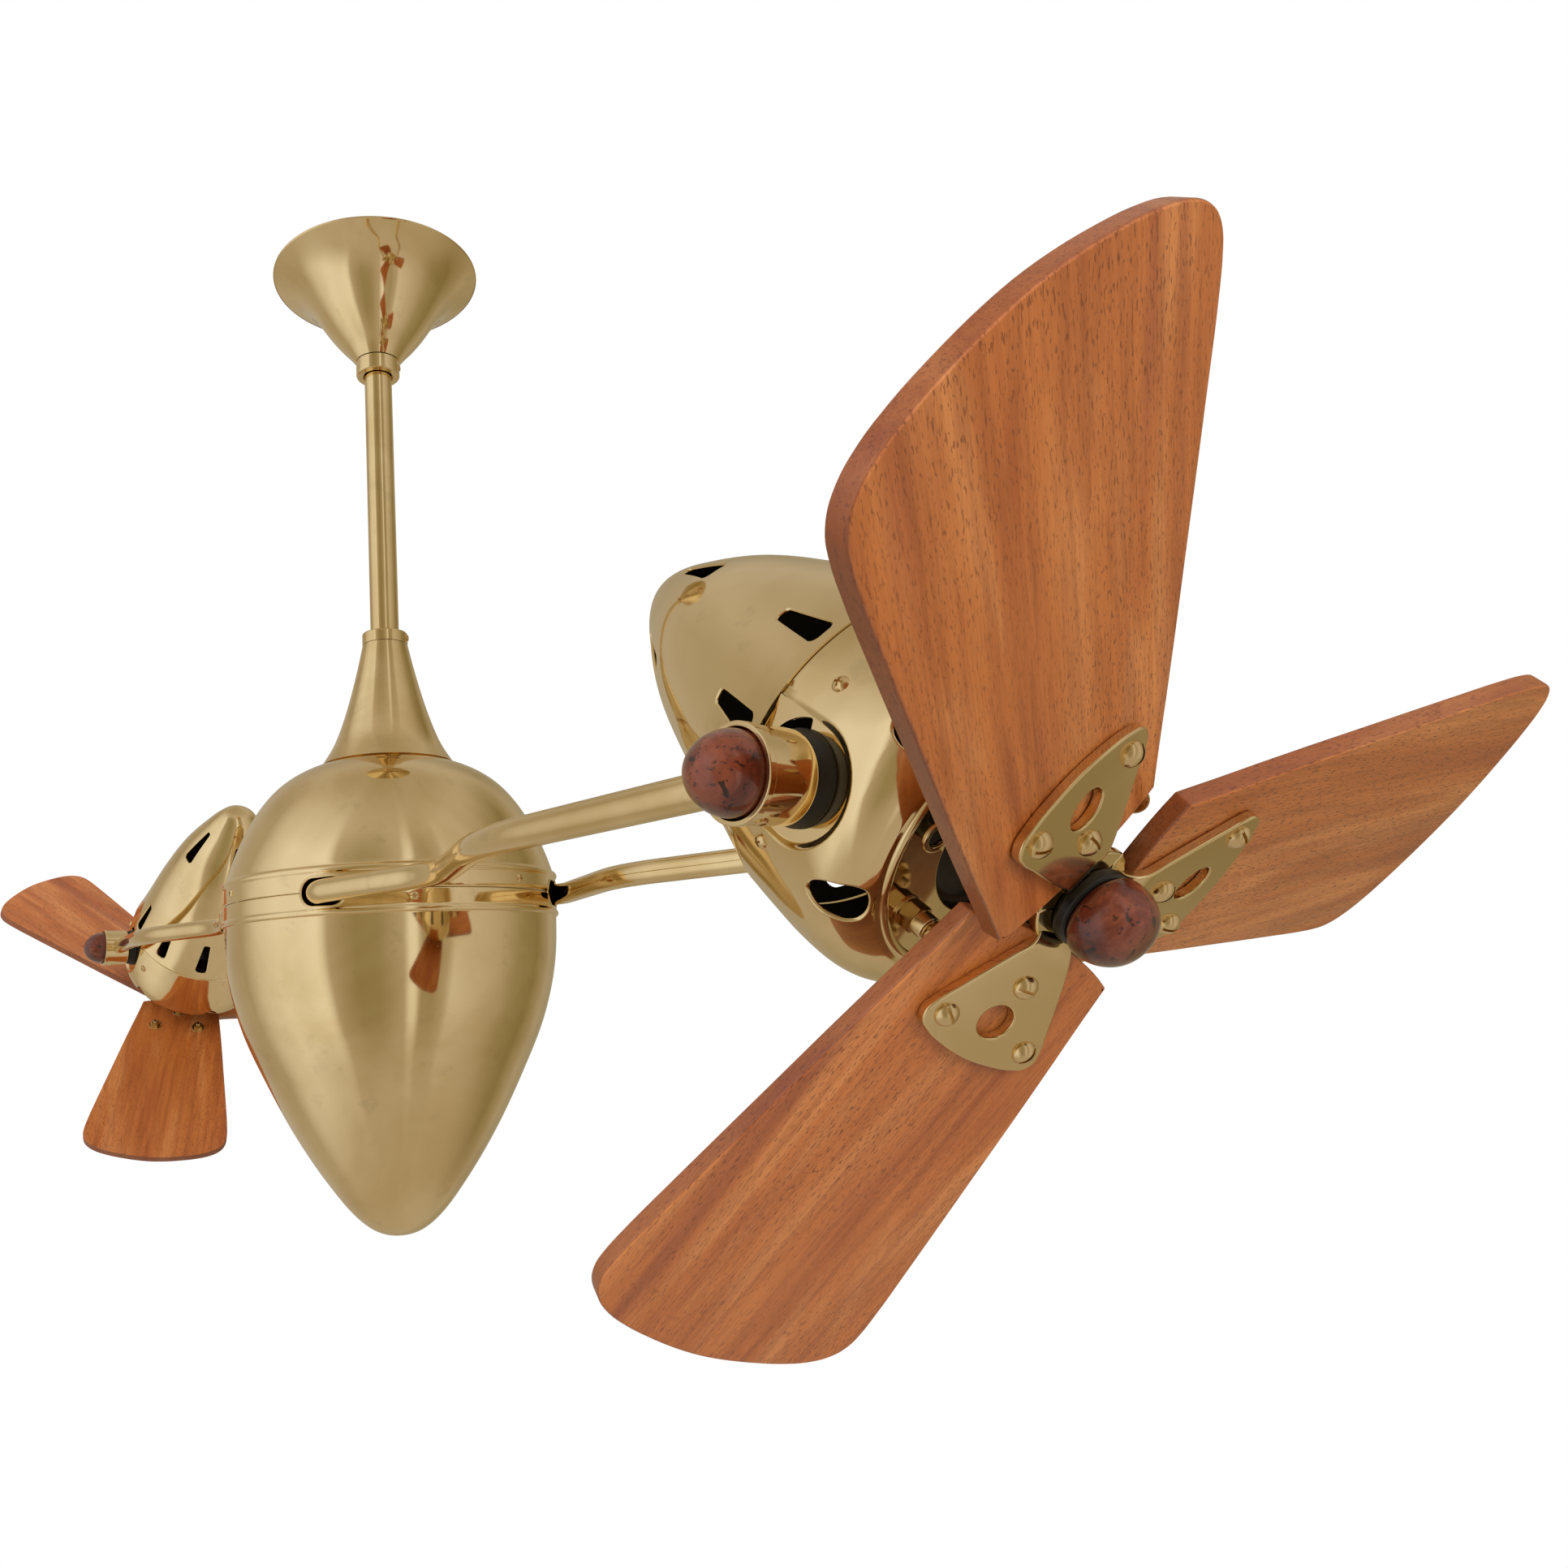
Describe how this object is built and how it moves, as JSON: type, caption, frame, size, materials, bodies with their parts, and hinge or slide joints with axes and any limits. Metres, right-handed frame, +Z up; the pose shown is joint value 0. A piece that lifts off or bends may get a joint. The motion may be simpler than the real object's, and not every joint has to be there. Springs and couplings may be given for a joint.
{
  "type": "dual-head rotational ceiling fan",
  "caption": "Ceiling fan whose brass pod hangs from a downrod and turns, carrying tilting motor heads on bent arms with wooden propeller blades.",
  "frame": {"origin": "centre of the ceiling face, on the downrod axis", "axes": "+Z up; +X towards the right-hand head at rest; the tilt pivots of both heads run along Y"},
  "size_m": [1.3115, 0.3995, 0.724],
  "materials": {
    "brass": "polished, lacquered pale antique brass",
    "blade_wood": "satin lacquered mahogany",
    "finial_wood": "glossy lacquered dark red wood",
    "rubber": "matte black",
    "black_metal": "satin black paint",
    "steel": "zinc plated"
  },
  "bodies": {
    "mount": {"ceiling_bracket": "steel", "hanger_ball": "black_metal", "hanger_pin": "steel", "downrod": "brass", "canopy": "brass", "canopy_collar": "brass", "neck_collar": "brass", "neck_cover": "brass", "main_spindle": "steel", "slip_ring": "steel"},
    "carousel": {"upper_shell": "brass", "lower_shell": "brass", "carousel_hub": "steel", "upper_bearing": "steel", "lower_bearing": "steel", "brush_block": "black_metal", "arm_right_a": "brass", "socket_right_a": "brass", "pivot_finial_right_a": "finial_wood", "arm_right_b": "brass", "socket_right_b": "brass", "pivot_finial_right_b": "finial_wood", "arm_left_a": "brass", "socket_left_a": "brass", "pivot_finial_left_a": "finial_wood", "arm_left_b": "brass", "socket_left_b": "brass", "pivot_finial_left_b": "finial_wood"},
    "right_head": {"right_rear_shell": "brass", "right_front_shell": "brass", "right_front_plate": "brass", "right_motor": "black_metal", "right_washer_a": "rubber", "right_washer_b": "rubber", "right_pivot_bolt_a": "steel", "right_pivot_bolt_b": "steel"},
    "right_rotor": {"right_rotor_hub": "black_metal", "right_hub_finial": "finial_wood", "right_blade_bracket_1": "brass", "right_blade_bracket_2": "brass", "right_blade_bracket_3": "brass", "right_blade_1": "blade_wood", "right_blade_2": "blade_wood", "right_blade_3": "blade_wood"},
    "left_head": {"left_rear_shell": "brass", "left_front_shell": "brass", "left_front_plate": "brass", "left_motor": "black_metal", "left_washer_a": "rubber", "left_washer_b": "rubber", "left_pivot_bolt_a": "steel", "left_pivot_bolt_b": "steel"},
    "left_rotor": {"left_rotor_hub": "black_metal", "left_hub_finial": "finial_wood", "left_blade_bracket_1": "brass", "left_blade_bracket_2": "brass", "left_blade_bracket_3": "brass", "left_blade_1": "blade_wood", "left_blade_2": "blade_wood", "left_blade_3": "blade_wood"}
  },
  "joints": [
    {"name": "carousel_spin", "type": "hinge", "parent": "mount", "child": "carousel", "pos_m": [0, 0, -0.5], "axis": [0, 0, 1], "continuous": true},
    {"name": "right_head_tilt", "type": "hinge", "parent": "carousel", "child": "right_head", "pos_m": [0.475, 0, -0.5], "axis": [0, -1, 0], "range_deg": [-48.8, 131.2]},
    {"name": "left_head_tilt", "type": "hinge", "parent": "carousel", "child": "left_head", "pos_m": [-0.475, 0, -0.5], "axis": [0, 1, 0], "range_deg": [-48.8, 131.2]},
    {"name": "right_rotor_spin", "type": "hinge", "parent": "right_head", "child": "right_rotor", "pos_m": [0.475, 0, -0.5], "axis": [0.7524, 0, -0.6587], "continuous": true},
    {"name": "left_rotor_spin", "type": "hinge", "parent": "left_head", "child": "left_rotor", "pos_m": [-0.475, 0, -0.5], "axis": [-0.7524, 0, -0.6587], "continuous": true}
  ]
}
